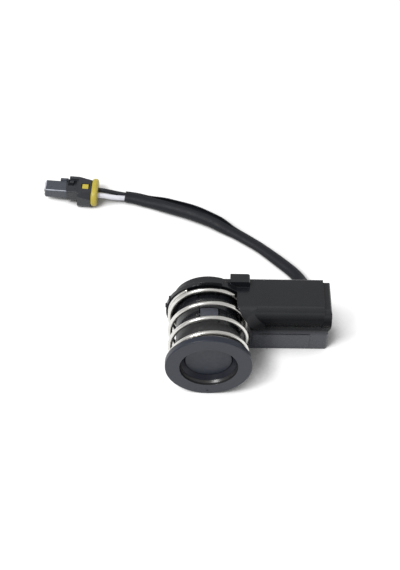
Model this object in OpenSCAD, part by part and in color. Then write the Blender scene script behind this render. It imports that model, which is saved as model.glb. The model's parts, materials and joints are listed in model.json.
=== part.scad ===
// Parking sensor: a round ultrasonic transducer in a sprung barrel, with its electronics box beside it
// and a short lead to a two-way plug.
// Millimetres. The barrel lies along Y and the sensing face looks to -Y. The box is at +X and +Z is up.
// The origin is on the barrel's axis, at the rear face of the bezel ring, where a bumper skin seats.

/* [Bezel ring] */
// Diameter of the window in the ring
window_d = 16.1; // [14:0.1:18]
// Radial width of the ring's front face
face_w = 4.45; // [4:0.05:6]
// Thickness of the ring's flange
ring_t = 1.8; // [1.4:0.1:3]
// Rounding of the flange's front edge
ring_edge_r = 0.3; // [0.2:0.05:0.6]
// Wall of the sleeve behind the flange
sleeve_wall = 0.7; // [0.5:0.05:1]
// Length of the sleeve behind the flange
sleeve_len = 7.4; // [6:0.1:8]
// Width of a snap finger
finger_w = 5.1; // [4:0.1:6]
// Length of a snap finger past the sleeve
finger_len = 5; // [4:0.1:5.5]

/* [Spring] */
// Wire diameter of the retaining spring
spring_wire_d = 1.35; // [1.1:0.05:1.6]
// Pitch of the active coils
spring_pitch = 5.3; // [4.6:0.1:6]
// Number of active coils
active_turns = 3.03; // [2.6:0.01:4]

/* [Barrel] */
// Wall of the spigot inside the ring's sleeve
spigot_wall = 0.65; // [0.5:0.05:0.8]
// Depth of the finger slots in the barrel
slot_depth = 0.6; // [0.5:0.05:0.7]
// Height of the lip round the spring's seat
seat_lip_h = 0.45; // [0.3:0.05:0.8]
// Thickness of the round seat plate
seat_plate_t = 0.85; // [0.7:0.05:1.2]
// Thickness of the web behind the seat plate
web_t = 0.8; // [0.6:0.05:1]

/* [Electronics box] */
// Reach of the box from the barrel's axis
box_reach = 35.65; // [33:0.05:42]
// Height of the box top above the barrel's axis
box_top = 9.2; // [8.8:0.1:10]
// Distance from the spring's seat to the back of the box
box_back = 4.55; // [4:0.05:5.2]
// Depth of the box from its back to the front of its bulge
bulge_depth = 11.95; // [11.4:0.05:12.6]
// Depth of the foot from its back to its front
foot_depth = 8.9; // [8:0.1:9.2]
// Rounding between the top and the front of the bulge
brow_r = 2.3; // [1.8:0.1:3]
// Reach of the flare beside the spring, in front of the bulge
flare_out = 1.65; // [1:0.05:2]
// Wall of the box
box_wall = 1.5; // [1.2:0.1:1.8]
// Width of the lower end margin of the box
end_margin = 2.45; // [1.8:0.05:3]
// Drop of the end margin below the box top
end_drop = 1.2; // [0.8:0.1:1.4]

/* [Transducer] */
// Diameter of the transducer cup
cup_d = 13.5; // [12:0.1:14]
// Radial width of the rubber ring round the cup
rubber_w = 1.3; // [1:0.05:1.8]
// Depth of the cup's face behind the front of the ring
cup_recess = 2.54; // [2.2:0.02:3]
// Length of the cup
cup_len = 7.5; // [6:0.1:8]
// Thickness of the cup's front membrane
membrane_t = 0.7; // [0.5:0.05:1]
// Diameter of the piezo disc
piezo_d = 7; // [5:0.1:9]

/* [Electronics] */
// Thickness of the circuit board
board_t = 1; // [0.8:0.1:1.2]
// Thickness of the rear cover
cover_t = 1; // [0.8:0.1:1.2]
// Diameter of the transformer core
core_d = 5.2; // [4.4:0.1:5.4]
// Height of the transformer core
core_h = 5; // [4:0.1:5.5]
// Diameter of the storage capacitor
can_d = 4.4; // [4:0.1:5]

/* [Lead] */
// Width of the cable sleeve
cable_w = 3.8; // [3.4:0.1:4.2]
// Height of the cable sleeve
cable_h = 2.8; // [2.4:0.1:3]
// Diameter of the black wire
black_d = 1.4; // [1.2:0.05:1.6]
// Diameter of the white wire
white_d = 1.6; // [1.2:0.05:1.7]

/* [Plug] */
// Length of the plug with its retainer
plug_len = 16.85; // [16:0.05:20]
// Width of the retainer
retainer_w = 9.6; // [9:0.1:11]
// Height of the retainer
retainer_h = 6.4; // [6.2:0.1:7]
// Thickness of the retainer's rim
retainer_t = 2; // [1.6:0.1:2.6]
// Width of the plug's nose
nose_w = 4.3; // [4.1:0.1:5]
// Height of the plug's nose
nose_h = 3.5; // [3.2:0.1:4.2]

/* [Hidden] */

$fn = 64;
// Extra length of a cut past the face it opens
cut = 1;
// Clearance between pieces that plug or drop into each other
fit = 0.05;

// Radii about the barrel's axis, from the inside out
window_r = window_d / 2;
ring_r = window_r + face_w;
cup_r = cup_d / 2;
bore_r = cup_r + rubber_w;
spigot_r = bore_r + spigot_wall;
sleeve_bore_r = spigot_r + fit;
sleeve_r = sleeve_bore_r + sleeve_wall;
barrel_r = spigot_r + slot_depth;
spring_gap = 0.87;
spring_r = sleeve_r + spring_gap + spring_wire_d / 2;
spring_outer_r = spring_r + spring_wire_d / 2;
lip_gap = 0.1;
lip_r = spring_outer_r + lip_gap;
lip_wall = 0.4;
seat_plate_r = lip_r + lip_wall;
box_gap = 0.55;
box_clear_r = spring_outer_r + box_gap;
chamber_step = 1.2;
chamber_r = bore_r - chamber_step;
boss_wall = 3;
boss_r = chamber_r + boss_wall;

// Stations along the barrel's axis
front_y = -ring_t;
// The flange keeps this much wall in front of the barrel's spigot
window_wall = 1.46;
spigot_y = front_y + window_wall;
finger_y = sleeve_len + finger_len;
slot_gap = 0.3;
closed_turns = 1;
// Depth to which each end of the spring is ground flat
end_grind = 0.45;
seat_y = spring_wire_d * (1 + 2 * closed_turns) + spring_pitch * active_turns - 2 * end_grind;
plate_back_y = seat_y + seat_plate_t;
web_back_y = plate_back_y + web_t;
back_y = seat_y + box_back;
bulge_y = back_y - bulge_depth;
flare_y = bulge_y - flare_out;
foot_y = back_y - foot_depth;

// Ring details
hook_len = 1;
hook_depth = 0.3;
// The window is wider by this much in front, over a straight length before it narrows
window_flare = 0.35;
window_straight = 0.7;
pip_r = 0.25;
pip_h = 0.2;
pip_inset = 1.2;

// Seat plate details
pad_x = [-2.9, 3.7];
pad_h = 1;
nub_r = 0.35;
nub_angles = [156, 172];
// Recess in the barrel beside the upper finger
recess_x = [2.9, 5.3];
recess_y = [9.6, 12.6];
recess_depth = 0.35;
// Pocket in the top of the barrel, near the seat plate
pocket_w = 6.5;
pocket_len = 2.2;
pocket_depth = 0.8;
pocket_back = 0.5;

// Box outline
rest_z = -ring_r;
box_left_x = 3.5;
foot_gap = 0.4;
foot_left_x = box_clear_r + foot_gap;
foot_out = 0.15;
foot_right_x = box_reach + foot_out;
foot_h = 7.1;
foot_top_z = rest_z + foot_h;
foot_r = 0.9;
corner_r = 1;
edge_r = 0.6;
margin_x = box_reach - end_margin;
// The front stays upright over this height before it curves back to the foot
front_flat = 0.4;
// Share of the S-curve that belongs to its upper arc
bulge_share = 0.52;
// Rounding of the flare's brow, and the radius at which the flare has run out
flare_brow_r = 4.1;
flare_r = 16.5;
flare_run = 2.6;
// The right end leans out from the top down to its neck
end_lean = 0.35;
neck_in = 0.55;
neck_h = 3.4;
end_r = 1;
// Clip block on the box top, beside the seat plate
clip_x = [6.2, 11.9];
clip_in = 0.3;
clip_len = 3.05;
clip_y = [back_y - clip_in - clip_len, back_y - clip_in];
clip_h = 2.3;
clip_r = 0.8;
// Bare raised field on the front of the foot
field_start_in = 0.7;
field_end_in = 5.45;
field_low = 1.2;
field_top = 6.9;
field_x = [foot_left_x + field_start_in, box_reach - field_end_in];
field_z = [rest_z + field_low, rest_z + field_top];
field_h = 0.2;

// Box inside
cover_in = 0.7;
cover_lap = 0.15;
cover_y = back_y - cover_t;
potting_t = 2.5;
board_back_y = cover_y - potting_t;
board_y = board_back_y - board_t;
cavity_end_in = 0.2;
cavity_x = [foot_left_x + box_wall, margin_x - cavity_end_in];
cavity_z = [rest_z + box_wall, box_top - box_wall];
ledge = 0.8;
// Front wall of the upper bay, and the bay's clearance round the transformer core
upper_wall = 2.2;
bay_gap = 0.25;
bay_h = core_d + 2 * bay_gap;
upper_cavity_y = bulge_y + upper_wall;
lower_cavity_y = foot_y + box_wall;
upper_cavity_z = cavity_z[1] - ledge - bay_h;
lead_r = 0.3;
lead_z = 1.2;
lead_bend_r = 0.8;
lead_gap = 0.25;
lead_y = web_back_y + lead_r + lead_gap;
lead_end_in = 2;
lead_end_x = cavity_x[0] + lead_end_in;
channel_h = 3.4;
// Wall of the bridge above and below the channel, with the cover's seat in it
bridge_wall = 1;
bridge_low_z = -channel_h / 2 - 2 * bridge_wall - cover_in;
pin_r = 0.35;
pin_stand = 0.3;

// Cable exit through the rear cover
exit_in = 5.85;
exit_x = box_reach - exit_in;
exit_z = -5;
gland_r = 2.4;
gland_collar_r = 2.9;
gland_tip_r = 2.2;
gland_out = 1.6;
gland_flange_t = 0.7;
gland_flange_r = 3;
gland_end_y = back_y + gland_out;
stub_gap = 0.9;

// Route of the sleeve from the gland to its cut end, on the surface that the part lies on
sleeve_route = [[exit_x, gland_end_y, exit_z], [29.9, 28, -5.2], [30.1, 31, -6.2], [30.2, 34, -8],
    [29.9, 37, -9.8], [28.9, 40, -10.8], [27, 43, -11], [24, 46.2, -11], [20.6, 49.6, -11],
    [17, 53, -11], [13.2, 56, -11], [9.4, 58.8, -11], [6, 61.2, -11], [2.4, 63.6, -11],
    [-2.4, 66.1, -11], [-6.4, 67.8, -11], [-10.4, 69.2, -11], [-14.4, 70.6, -11],
    [-18.4, 71.8, -11], [-22, 72.9, -10.9], [-25, 73.4, -10.8]];
// Plug's rear face and turn, and the wires' routes from the sleeve to the plug
plug_pos = [-33.65, 73.5, rest_z + retainer_h / 2];
plug_turn = -4.5;
wire_pitch = 2.4;
sleeve_sides = 10;
wire_sides = 8;
sleeve_end = sleeve_route[len(sleeve_route) - 1];
black_start = sleeve_end + [0, 0.8, 0.1];
white_start = sleeve_end + [0, -0.75, 0.1];
black_route = [black_start, [-27, 74.3, -10.5], [-29.5, 74.5, -10], [-31.6, 74.6, -9.5]];
white_route = [white_start, [-27, 72.5, -10.5], [-29.5, 72.3, -10], [-31.6, 72.3, -9.5]];

// Plug sections, measured from the rear face towards the nose
rear_len = 4.25;
rear_w = 8.6;
rear_h = 6;
rear_r = 1.4;
// Chamfer along the rear's upper edges, deeper towards the retainer
chamfer_turn = 48.8;
chamfer_start = 4.63;
chamfer_slope = 0.206;
collar_len = 3.4;
collar_w = 5.8;
collar_z = [-1.4, 2.5];
collar_r = 0.5;
nose_top = 2.05;
nose_r = 0.35;
tip_cham = 0.5;
// Rail beside the nose, the ear behind it and the latch pocket on the collar
rail_len = 2.4;
rail_w = 0.9;
rail_h = 1.7;
ear_len = 2.9;
ear_in = 2.4;
latch_x = [-9.45, -6.8];
latch_y = [-0.2, 2.2];
latch_depth = 0.8;
nib_x = [-9.1, -7.8];
nib_y = [0.9, 1.8];
nib_h = 0.2;
socket_w = 1.3;
socket_r = 0.2;
tunnel_r = 1.1;
plug_bay_w = 5.8;
plug_bay_h = 3.6;
plug_bay_len = 3.6;
plug_bay_r = 0.7;
tab_len = 1.9;
tab_y = [-1.45, 0.45];
tab_inset = 0.95;
tab_gap = 0.3;
seal_len = 2.4;
terminal_w = 1;
terminal_r = 0.15;
terminal_len = 7;

// Revolves a profile of [radius, y] points about the barrel's axis
module turned() {
    rotate([-90, 0, 0]) rotate_extrude() children();
}

// Round bar along the barrel's axis between two stations
module bar_y(r, y0, y1) {
    translate([0, y0, 0]) rotate([-90, 0, 0]) cylinder(r = r, h = y1 - y0);
}

// Tube along the barrel's axis between two stations
module tube_y(r_out, r_in, y0, y1) {
    difference() {
        bar_y(r_out, y0, y1);
        bar_y(r_in, y0 - cut, y1 + cut);
    }
}

// Extrudes a [y, z] outline along X between two stations
module along_x(x0, x1) {
    translate([x0, 0, 0]) rotate([90, 0, 90]) linear_extrude(x1 - x0) children();
}

// Extrudes an [x, z] outline along Y between two stations
module along_y(y0, y1) {
    translate([0, y1, 0]) rotate([90, 0, 0]) linear_extrude(y1 - y0) children();
}

// Block between two corners
module block(low, high) {
    translate(low) cube(high - low);
}

// Rectangle between two corners with all four corners rounded
module round_rect(low, high, r) {
    translate(low + [r, 0]) square(high - low - [2 * r, 0]);
    translate(low + [0, r]) square(high - low - [0, 2 * r]);
    for (x = [low[0] + r, high[0] - r], y = [low[1] + r, high[1] - r]) translate([x, y]) circle(r);
}

function unit(v) = v / norm(v);

// Direction of a route at one of its points: the stated one at its ends, the mean of its neighbours between
function route_dir(route, i, first, last) =
    i == 0 ? first : i == len(route) - 1 ? last : unit(route[i + 1] - route[i - 1]);

// One cross-section of a cord: an oval that lies flat across its route
function cord_ring(centre, dir, w, h, sides) =
    let (across = unit(cross([0, 0, 1], dir)), up = cross(dir, across))
    [for (k = [0:sides - 1]) centre + across * w / 2 * cos(360 * (k + 0.5) / sides)
        + up * h / 2 * sin(360 * (k + 0.5) / sides)];

// Closed skin over rings of points: quads along the sides and a cap at each end
module skin(rings) {
    sides = len(rings[0]);
    last = (len(rings) - 1) * sides;
    polyhedron(
        points = [for (ring = rings) each ring],
        faces = concat(
            [[for (k = [0:sides - 1]) k]],
            [[for (k = [0:sides - 1]) last + sides - 1 - k]],
            [for (i = [0:len(rings) - 2], k = [0:sides - 1])
                let (a = i * sides + k, b = i * sides + (k + 1) % sides) [a, a + sides, b + sides, b]]),
        convexity = 8);
}

// Cord of oval section along a route
module cord(route, w, h, sides, first, last) {
    skin([for (i = [0:len(route) - 1]) cord_ring(route[i], route_dir(route, i, first, last), w, h, sides)]);
}

// Section through the ring's flange, with its front edge rounded
module flange_section() {
    translate([0, front_y]) square([ring_r - ring_edge_r, ring_t]);
    translate([0, front_y + ring_edge_r]) square([ring_r, ring_t - ring_edge_r]);
    translate([ring_r - ring_edge_r, front_y + ring_edge_r]) circle(ring_edge_r);
}

// Shell of a snap finger between two radii and two stations, at the top or at the bottom of the barrel
module finger_shell(side, w, r_out, r_in, y0, y1) {
    intersection() {
        tube_y(r_out, r_in, y0, y1);
        mirror([0, 0, side < 0 ? 1 : 0]) block([-w / 2, y0, 0], [w / 2, y1, r_out]);
    }
}

module bezel_ring() {
    mouth_r = window_r + window_flare;
    color([0.3, 0.31, 0.33]) {
        difference() {
            union() {
                turned() flange_section();
                bar_y(sleeve_r, -fit, sleeve_len);
            }
            bar_y(window_r, front_y - cut, 0);
            bar_y(sleeve_bore_r, spigot_y, sleeve_len + cut);
            turned() polygon([[0, front_y - cut], [mouth_r, front_y - cut],
                [mouth_r, front_y + window_straight], [window_r, spigot_y], [0, spigot_y]]);
        }
        for (side = [1, -1]) {
            finger_shell(side, finger_w, sleeve_r, sleeve_bore_r, sleeve_len - fit, finger_y);
            finger_shell(side, finger_w, sleeve_bore_r + fit, sleeve_bore_r - hook_depth,
                finger_y - hook_len, finger_y);
        }
        translate([0, 0, -ring_r + pip_inset]) bar_y(pip_r, front_y - pip_h, front_y + fit);
    }
}

// Spring's centre line: angle counted backwards from the front tip, closed turns at both ends
spring_turns = active_turns + 2 * closed_turns;
front_tip_angle = 134;
spring_steps_per_turn = 30;
spring_sides = 10;
spring_end_gap = 0.02;

function spring_y(turn) =
    let (working = min(max(turn - closed_turns, 0), active_turns),
        closed = turn - working)
    spring_wire_d / 2 - end_grind + spring_wire_d * closed + spring_pitch * working;

function ground(y) = min(max(y, spring_end_gap), seat_y - spring_end_gap);

function spring_ring(turn) =
    let (angle = front_tip_angle - 360 * turn)
    [for (k = [0:spring_sides - 1])
        let (a = 360 * k / spring_sides, r = spring_r + spring_wire_d / 2 * cos(a))
        [r * cos(angle), ground(spring_y(turn) + spring_wire_d / 2 * sin(a)), r * sin(angle)]];

module retaining_spring() {
    steps = ceil(spring_turns * spring_steps_per_turn);
    color([0.8, 0.8, 0.78]) skin([for (i = [0:steps]) spring_ring(spring_turns * i / steps)]);
}

// Curve of the front from its upright part back to the foot: two arcs that meet tangentially
module front_curve(front, low_z) {
    waist = foot_y - front;
    drop = low_z - foot_top_z;
    arcs_sum = (waist * waist + drop * drop) / (2 * waist);
    bulge_r = arcs_sum * bulge_share;
    hollow_r = arcs_sum - bulge_r;
    bulge_centre = [front + bulge_r, low_z];
    hollow_centre = [foot_y - hollow_r, foot_top_z];
    meet = bulge_centre + (hollow_centre - bulge_centre) * bulge_r / arcs_sum;
    intersection() {
        difference() {
            union() {
                translate(bulge_centre) circle(bulge_r);
                polygon([meet, hollow_centre, [foot_y + cut, foot_top_z], [foot_y + cut, meet[1]]]);
            }
            translate(hollow_centre) circle(hollow_r);
        }
        translate([front, foot_top_z]) square([waist + cut, drop]);
    }
}

// Section through the box as an outline of [y, z]: top, brow, S-shaped front, foot and rounded back edge
module box_outline(top, front, brow) {
    low_z = top - brow - front_flat;
    translate([front + brow, low_z]) square([back_y - edge_r - front - brow, top - low_z]);
    translate([front, low_z]) square([2 * brow, front_flat]);
    translate([front + brow, top - brow]) circle(brow);
    translate([foot_y, rest_z]) square([back_y - foot_y, top - edge_r - rest_z]);
    translate([back_y - edge_r, top - edge_r]) circle(edge_r);
    front_curve(front, low_z);
}

// Plan of the box with its outer corners rounded, from a left edge to a right edge
module box_plan(x0, x1, y0) {
    round_rect([x0 - 2 * corner_r, y0], [x1, back_y], corner_r);
}

// Place of the right end at a height above its neck: it leans out downwards
function end_x(z) =
    let (neck_z = foot_top_z + neck_h)
    box_reach + end_lean - 2 * end_lean * (z - neck_z) / (box_top - neck_z);

// Outline of the box's right end as [x, z], which draws in at the neck over the foot
module end_outline() {
    neck_z = foot_top_z + neck_h;
    top_z = box_top + cut;
    polygon([[box_left_x - cut, top_z], [end_x(top_z), top_z], [end_x(neck_z), neck_z],
        [box_reach - neck_in, foot_top_z], [box_reach - neck_in, rest_z - cut],
        [box_left_x - cut, rest_z - cut]]);
}

// What the rounding of the right end's top edge takes away, as an outline of [x, z]
module end_corner() {
    z = box_top - end_drop - end_r;
    translate([end_x(z) - end_r, z]) difference() {
        square(end_r + cut);
        circle(end_r);
    }
}

// Solid of the box before it is hollowed out
module box_body() {
    reach = box_reach + end_lean;
    intersection() {
        union() {
            along_x(box_left_x, margin_x) box_outline(box_top, bulge_y, brow_r);
            difference() {
                along_x(margin_x - fit, reach) box_outline(box_top - end_drop, bulge_y, brow_r);
                along_y(bulge_y - cut, back_y + cut) end_corner();
            }
        }
        translate([0, 0, rest_z - cut]) linear_extrude(box_top - rest_z + 2 * cut)
            box_plan(box_left_x, reach, bulge_y);
        along_y(bulge_y - cut, back_y + cut) end_outline();
    }
    intersection() {
        translate([0, 0, rest_z]) linear_extrude(foot_h) box_plan(foot_left_x, foot_right_x, foot_y);
        along_y(foot_y - cut, back_y + cut) difference() {
            round_rect([foot_left_x - 2 * foot_r, rest_z], [foot_right_x, foot_top_z], foot_r);
            translate([foot_left_x - 4 * foot_r, rest_z - cut]) square([4 * foot_r, foot_h + 2 * cut]);
        }
    }
}

// Flare of the box's front beside the spring: it runs out along a cone about the barrel's axis
module front_flare() {
    intersection() {
        turned() polygon([[0, flare_y], [box_clear_r, flare_y], [flare_r, flare_y + flare_run],
            [flare_r, foot_y], [0, foot_y]]);
        along_x(box_left_x, flare_r) box_outline(box_top, flare_y, flare_brow_r);
    }
}

// Space that the spring and the ring need in front of the seat plate
module spring_space() {
    bar_y(box_clear_r, front_y, seat_y - seat_lip_h);
    bar_y(lip_r, front_y, seat_y);
    block([0, front_y, rest_z - cut], [foot_left_x, seat_y, 0]);
}

// Barrel with its spigot, seat plate, lip, pad and nubs
module barrel_body() {
    bar_y(spigot_r, spigot_y, back_y);
    bar_y(barrel_r, sleeve_len + fit, back_y);
    bar_y(seat_plate_r, seat_y, plate_back_y);
    tube_y(seat_plate_r, lip_r, seat_y - seat_lip_h, plate_back_y);
    bar_y(boss_r, seat_y, back_y);
    intersection() {
        bar_y(seat_plate_r, plate_back_y - fit, web_back_y);
        block([pad_x[0], seat_y, bridge_low_z], [2 * ring_r, back_y, 2 * ring_r]);
    }
    intersection() {
        tube_y(seat_plate_r + pad_h, lip_r, seat_y - seat_lip_h, web_back_y);
        block([pad_x[0], 0, 0], [pad_x[1], back_y, 2 * ring_r]);
    }
    for (angle = nub_angles) {
        translate([seat_plate_r * cos(angle), 0, seat_plate_r * sin(angle)])
            bar_y(nub_r, seat_y - seat_lip_h, plate_back_y);
    }
}

// Slots, hook pockets and recesses in the outside of the barrel
module barrel_cuts() {
    slot_w = finger_w + 2 * slot_gap;
    pocket_y = seat_y - pocket_back;
    for (side = [1, -1]) {
        finger_shell(side, slot_w, barrel_r + cut, spigot_r, sleeve_len - cut, finger_y + slot_gap);
        finger_shell(side, slot_w, barrel_r + cut, sleeve_bore_r - hook_depth - fit,
            finger_y - hook_len - fit, finger_y + slot_gap);
    }
    intersection() {
        tube_y(barrel_r + cut, barrel_r - recess_depth, recess_y[0], recess_y[1]);
        block([recess_x[0], 0, 0], [recess_x[1], seat_y, 2 * ring_r]);
    }
    intersection() {
        tube_y(barrel_r + cut, barrel_r - pocket_depth, pocket_y - pocket_len, pocket_y);
        block([-pocket_w / 2, 0, 0], [pocket_w / 2, seat_y, 2 * ring_r]);
    }
}

// Height of the cover's neck over the channel
cover_neck_h = channel_h + 2 * bridge_wall;

// Outline of the rear cover's seat: the round chamber behind the barrel joined to the box
module cover_outline(inset) {
    circle(boss_r - cover_in - inset);
    translate([0, -cover_neck_h / 2 + inset])
        square([foot_left_x + 2 * cover_in, cover_neck_h - 2 * inset]);
    round_rect([foot_left_x + cover_in + inset, rest_z + cover_in + inset],
        [cavity_x[1] + cover_lap - inset, cavity_z[1] + cover_lap - inset], corner_r / 2);
}

// Hollow of the box: two bays for the parts on the board, the board's seat, and the bay behind it
module box_hollow() {
    bay_end = [cavity_x[1] - ledge, back_y, cavity_z[1] - ledge];
    block([cavity_x[0] + ledge, upper_cavity_y, upper_cavity_z], bay_end);
    block([cavity_x[0] + ledge, lower_cavity_y, cavity_z[0] + ledge], bay_end);
    block([cavity_x[0], board_y, cavity_z[0]], [cavity_x[1], cover_y + cut / 2, cavity_z[1]]);
    block([0, web_back_y, -channel_h / 2], [cavity_x[0] + cut, cover_y + cut / 2, channel_h / 2]);
    bar_y(chamber_r, spigot_y, cover_y + cut / 2);
    bar_y(bore_r, spigot_y - cut, cup_back_y + ring_flange_t + fit);
    along_y(cover_y, back_y + cut) cover_outline(0);
}

// Clip block with its outer top corner rounded
module clip_block() {
    along_y(clip_y[0], clip_y[1]) {
        translate([clip_x[0], box_top - cut]) square([clip_x[1] - clip_x[0] - clip_r, clip_h + cut]);
        translate([clip_x[0], box_top - cut]) square([clip_x[1] - clip_x[0], clip_h + cut - clip_r]);
        translate([clip_x[1] - clip_r, box_top + clip_h - clip_r]) circle(clip_r);
    }
}

module sensor_housing() {
    color([0.14, 0.14, 0.15]) {
        difference() {
            union() {
                difference() {
                    union() {
                        box_body();
                        front_flare();
                    }
                    spring_space();
                    block([0, seat_y - fit, rest_z - cut], [foot_left_x, back_y + cut, bridge_low_z]);
                }
                barrel_body();
                clip_block();
                block([field_x[0], foot_y - field_h, field_z[0]], [field_x[1], foot_y + fit, field_z[1]]);
            }
            barrel_cuts();
            box_hollow();
        }
    }
}

module rear_cover() {
    color([0.16, 0.16, 0.17]) difference() {
        along_y(cover_y, back_y) cover_outline(fit);
        translate([exit_x, 0, exit_z]) bar_y(gland_r, cover_y - cut, back_y + cut);
    }
}

// Places of the two wires in the gland, side by side
function stub_place(side) = [exit_x + side * stub_gap, 0, exit_z];

module potting_layer() {
    color([0.1, 0.1, 0.12]) difference() {
        block([cavity_x[0] + fit, board_back_y, cavity_z[0] + fit],
            [cavity_x[1] - fit, cover_y, cavity_z[1] - fit]);
        lead_runs(lead_r + fit, 0);
        translate([exit_x, 0, exit_z])
            bar_y(gland_flange_r + fit, cover_y - gland_flange_t - fit, cover_y + cut);
        for (side = [1, -1]) translate(stub_place(side))
            bar_y(white_d / 2 + fit, board_back_y - cut, cover_y);
    }
}

// Transducer stations
cup_y = front_y + cup_recess;
cup_back_y = cup_y + cup_len;
cup_wall = 0.8;
cup_in_r = cup_r - cup_wall;
piezo_y = cup_y + membrane_t;
piezo_t = 0.35;
pad_y = piezo_y + piezo_t;
pad_t = 2.6;
seal_y = pad_y + pad_t;
ring_flange_t = 0.9;
ring_flange_in = 0.4;
ring_flange_r = cup_in_r - ring_flange_in;
lip_drop = 0.2;

module transducer_cup() {
    color([0.34, 0.35, 0.37]) difference() {
        bar_y(cup_r, cup_y, cup_back_y);
        bar_y(cup_in_r, piezo_y, cup_back_y + cut);
    }
}

module piezo_disc() {
    color([0.85, 0.8, 0.6]) bar_y(piezo_d / 2, piezo_y, pad_y);
}

module decoupling_ring() {
    color([0.1, 0.11, 0.15]) turned() polygon([[cup_r + fit, cup_y + lip_drop],
        [bore_r - fit, spigot_y + fit], [bore_r - fit, cup_back_y + ring_flange_t],
        [ring_flange_r, cup_back_y + ring_flange_t], [ring_flange_r, cup_back_y + fit],
        [cup_r + fit, cup_back_y + fit]]);
}

// Holes for the two leads through a filling inside the cup
module lead_holes(y0, y1) {
    for (side = [1, -1]) translate([0, 0, side * lead_z]) bar_y(lead_r + fit, y0 - cut, y1 + cut);
}

module damping_pad() {
    color([0.45, 0.43, 0.4]) difference() {
        bar_y(cup_in_r - fit, pad_y, seal_y);
        lead_holes(pad_y, seal_y);
    }
}

module back_seal() {
    color([0.55, 0.2, 0.18]) difference() {
        bar_y(cup_in_r - fit, seal_y, cup_back_y);
        lead_holes(seal_y, cup_back_y);
    }
}

// Quarter bend of a lead in a level plane, from the +Y direction towards +X
module lead_bend(r) {
    rotate_extrude(angle = 90) translate([lead_bend_r, 0]) circle(r);
}

// The two leads: back along the barrel, across behind the seat plate and forward into the board
module lead_runs(r, y0) {
    for (side = [1, -1]) translate([0, 0, side * lead_z]) {
        bar_y(r, y0, lead_y - lead_bend_r);
        translate([lead_bend_r, lead_y - lead_bend_r, 0]) rotate([0, 0, 90]) lead_bend(r);
        translate([lead_bend_r, lead_y, 0]) rotate([0, 90, 0])
            cylinder(r = r, h = lead_end_x - 2 * lead_bend_r);
        translate([lead_end_x - lead_bend_r, lead_y - lead_bend_r, 0]) lead_bend(r);
        translate([lead_end_x, 0, 0]) bar_y(r, board_y - pin_stand, lead_y - lead_bend_r);
    }
}

module transducer_leads() {
    color([0.75, 0.5, 0.3]) lead_runs(lead_r, pad_y);
}

// Places of the four pins that pass through the board
pin_places = [[lead_end_x, 0, lead_z], [lead_end_x, 0, -lead_z], stub_place(1), stub_place(-1)];
joint_r = 0.7;
joint_h = 0.5;

module circuit_board() {
    color([0.1, 0.35, 0.2]) difference() {
        block([cavity_x[0] + fit, board_y, cavity_z[0] + fit],
            [cavity_x[1] - fit, board_back_y, cavity_z[1] - fit]);
        for (p = pin_places) translate(p) bar_y(pin_r + fit, board_y - cut, board_back_y + cut);
    }
}

module solder_joints() {
    color([0.7, 0.7, 0.72]) for (p = pin_places) translate(p) turned() polygon([[pin_r + fit, board_y],
        [joint_r, board_y], [pin_r + 2 * fit, board_y - joint_h], [pin_r + fit, board_y - joint_h]]);
}

// Transformer on the front of the board
core_x = (cavity_x[0] + cavity_x[1]) / 2;
core_z = upper_cavity_z + bay_h / 2;
core_flange_t = 0.9;
core_post_r = 1.6;
core_r = core_d / 2;
winding_in = 0.3;

module transformer_core() {
    color([0.3, 0.28, 0.28]) translate([core_x, board_y - core_h, core_z]) {
        bar_y(core_r, 0, core_flange_t);
        bar_y(core_post_r, 0, core_h);
        bar_y(core_r, core_h - core_flange_t, core_h);
    }
}

module transformer_winding() {
    color([0.72, 0.42, 0.2]) translate([core_x, board_y - core_h, core_z])
        tube_y(core_r - winding_in, core_post_r, core_flange_t, core_h - core_flange_t);
}

// Storage capacitor: a can on a square base with a crimped neck
can_h = 4.8;
can_base_t = 0.6;
can_neck_y = 1.3;
can_neck_t = 0.5;
can_neck_in = 0.2;
can_gap = 0.4;
can_base_out = 0.15;
can_x = cavity_x[1] - ledge - can_d / 2 - can_gap;

module storage_capacitor() {
    half = can_d / 2 + can_base_out;
    color([0.6, 0.6, 0.62]) translate([can_x, board_y, core_z]) {
        block([-half, -can_base_t, -half], [half, 0, half]);
        difference() {
            bar_y(can_d / 2, -can_h, 0);
            tube_y(can_d, can_d / 2 - can_neck_in, -can_neck_y - can_neck_t, -can_neck_y);
        }
    }
}

// Driver chip in the lower bay, with a row of legs on each side
chip_size = [5, 1.1, 3.8];
chip_aside = 2;
chip_centre = [core_x - chip_aside, board_y, (cavity_z[0] + upper_cavity_z) / 2];
chip_lift = 0.1;
leg_pitch = 1;
leg_w = 0.4;
leg_t = 0.2;
leg_out = 0.8;

module driver_chip() {
    half = chip_size / 2;
    color([0.12, 0.12, 0.12]) translate(chip_centre) {
        block([-half[0], -chip_lift - chip_size[1], -half[2]], [half[0], -chip_lift, half[2]]);
        for (i = [-1.5:1:1.5], side = [1, -1]) translate([i * leg_pitch - leg_w / 2, 0, 0])
            mirror([0, 0, side < 0 ? 1 : 0])
                block([0, -leg_t - chip_lift, half[2] - leg_t], [leg_w, 0, half[2] + leg_out]);
    }
}

// Row of small block parts on the front of the board
small_len = 1.6;
small_w = 0.8;
small_pitch = 1.6;
small_aside = 4;
small_rise = 1.2;
small_gap = 0.6;
capacitor_t = 0.8;
capacitor_count = 3;
resistor_t = 0.5;
resistor_count = 4;

module small_parts(x, z, count, t) {
    for (i = [0:count - 1]) translate([x, board_y - t, z - i * small_pitch]) cube([small_len, t, small_w]);
}

module chip_capacitors() {
    color([0.7, 0.58, 0.4])
        small_parts(chip_centre[0] + small_aside, chip_centre[2] + small_rise, capacitor_count, capacitor_t);
}

module chip_resistors() {
    color([0.08, 0.08, 0.08])
        small_parts(cavity_x[0] + ledge + small_gap, chip_centre[2] + small_rise, resistor_count, resistor_t);
}

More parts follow.
